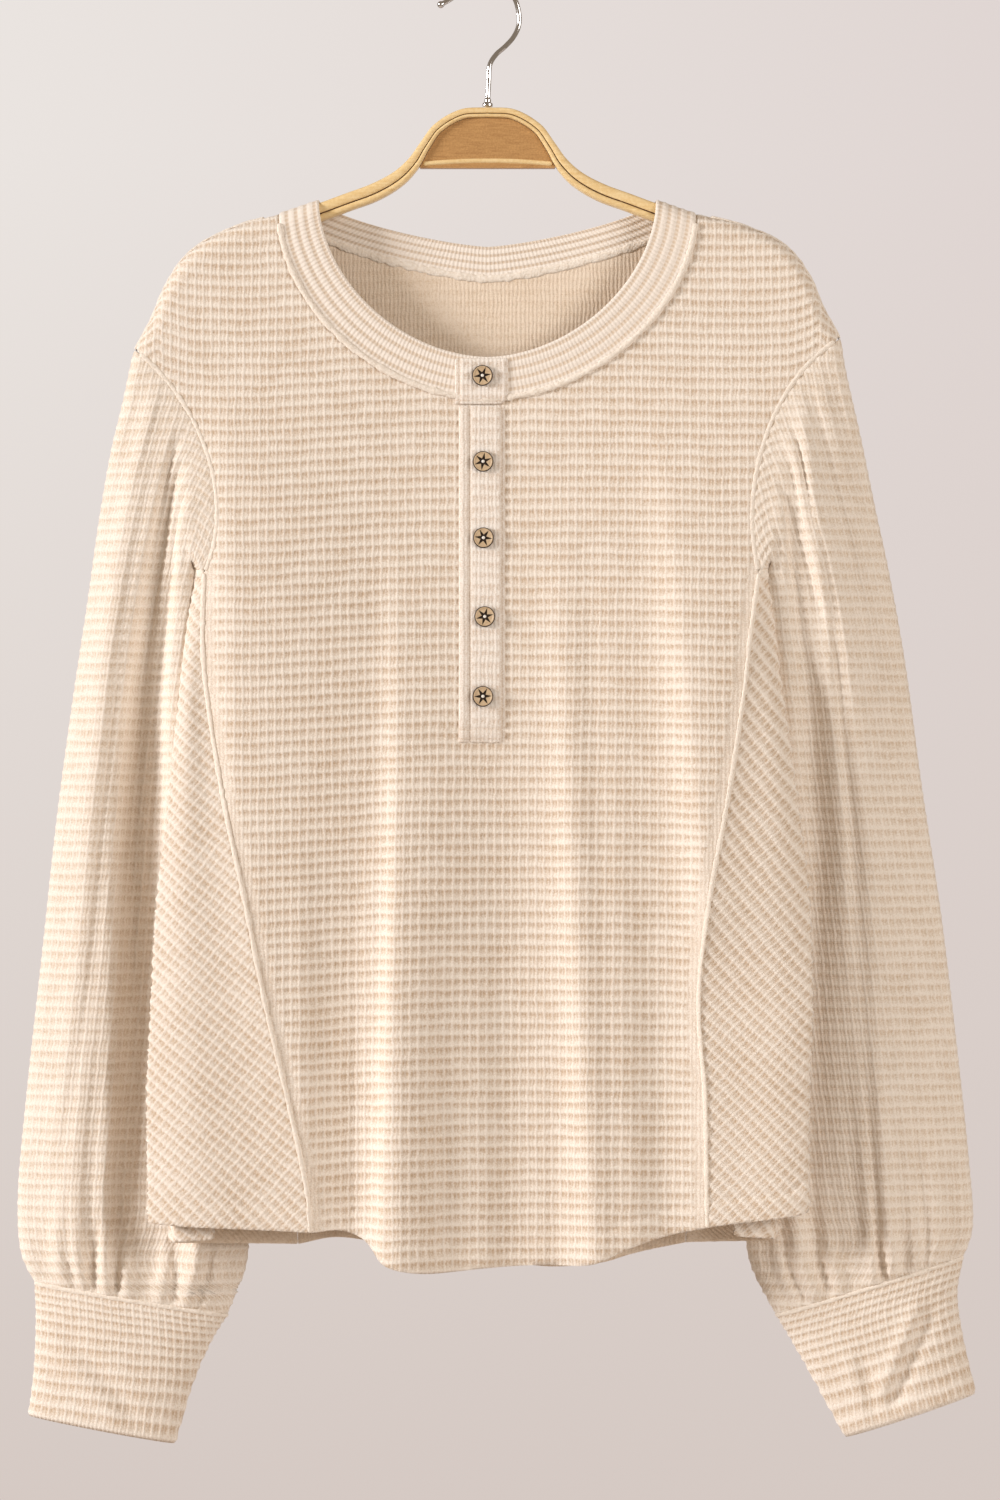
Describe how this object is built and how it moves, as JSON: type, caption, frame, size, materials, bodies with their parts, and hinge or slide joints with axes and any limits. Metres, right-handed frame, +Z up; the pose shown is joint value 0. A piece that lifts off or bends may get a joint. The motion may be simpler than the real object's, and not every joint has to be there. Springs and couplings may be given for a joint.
{
  "type": "henley shirt on a hanger",
  "caption": "Long-sleeved henley shirt in cream waffle knit with a round neckband, buttoned placket, flared side panels and gathered sleeves, hanging on a wooden hanger.",
  "frame": {"origin": "inner top of the hanger hook's crook, where it rests on a peg", "axes": "+X to the viewer's right across the shirt's front, +Y away from the viewer, from front to back, +Z up"},
  "size_m": [0.607, 0.0839, 0.925],
  "materials": {
    "waffle_knit": "cream waffle knit",
    "button": "brown, carved",
    "hanger_wood": "satin varnish",
    "hook_wire": "polished"
  },
  "bodies": {
    "root": {"front_panel": "waffle_knit", "back_panel": "waffle_knit", "side_panel_left": "waffle_knit", "side_panel_right": "waffle_knit", "sleeve_left": "waffle_knit", "sleeve_right": "waffle_knit", "cuff_left": "waffle_knit", "cuff_right": "waffle_knit", "neckband": "waffle_knit", "neckband_end": "waffle_knit", "placket": "waffle_knit", "button_1": "button", "button_2": "button", "button_3": "button", "button_4": "button", "button_5": "button", "hanger_rail": "hanger_wood", "hanger_panel": "hanger_wood", "hanger_hook": "hook_wire"}
  },
  "joints": []
}
